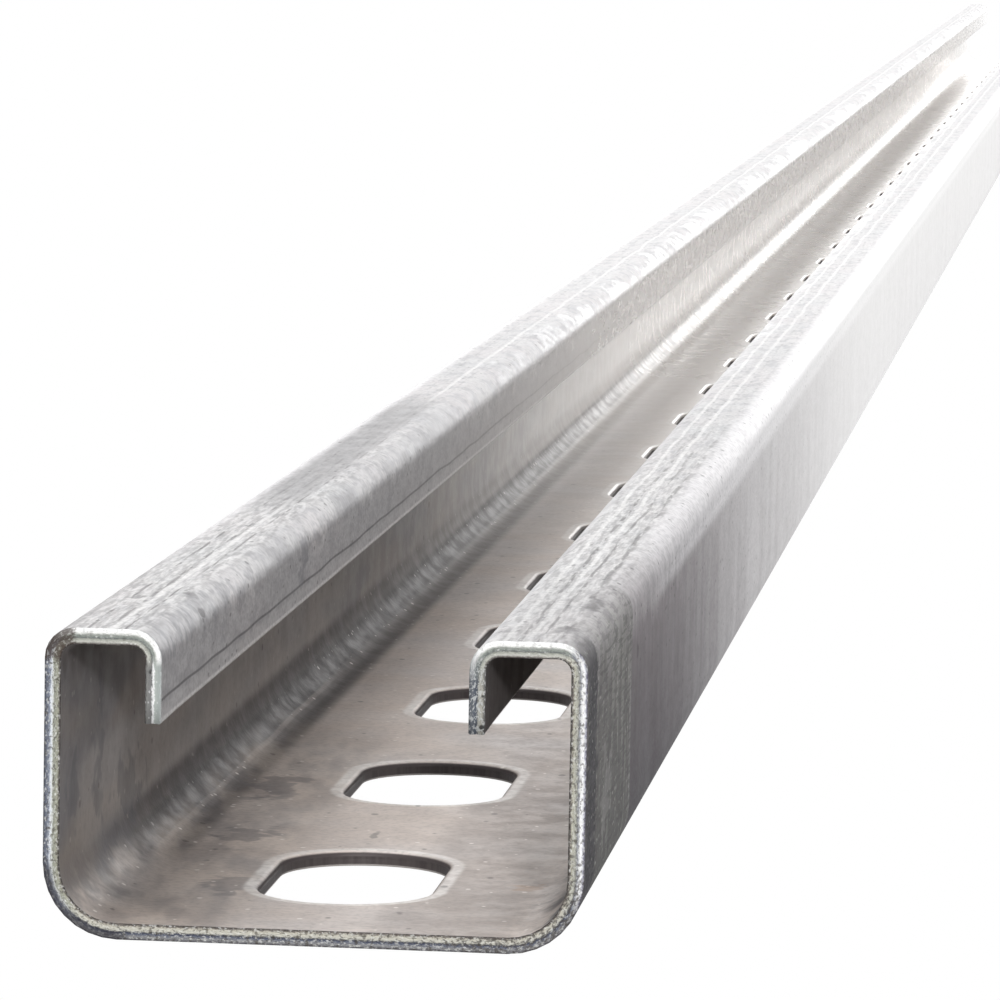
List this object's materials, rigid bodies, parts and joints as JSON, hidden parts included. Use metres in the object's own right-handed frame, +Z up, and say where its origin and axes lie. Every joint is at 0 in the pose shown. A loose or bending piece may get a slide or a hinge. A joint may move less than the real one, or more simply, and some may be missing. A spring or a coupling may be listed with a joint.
{
  "type": "perforated strut channel",
  "caption": "Galvanised steel strut channel with a lipped open side and a row of round-ended slots along its base, for hanging and bracing pipes, trays and frames.",
  "frame": {"origin": "middle of the bar's length, on the underside of the base", "axes": "+Y along the bar, away from the end that is nearest to the viewer; +X across it, to the right; +Z up, out of the open side between the lips"},
  "size_m": [0.041, 2, 0.0236],
  "materials": {
    "galvanised_steel": "satin"
  },
  "bodies": {
    "root": {"channel": "galvanised_steel"}
  },
  "joints": []
}
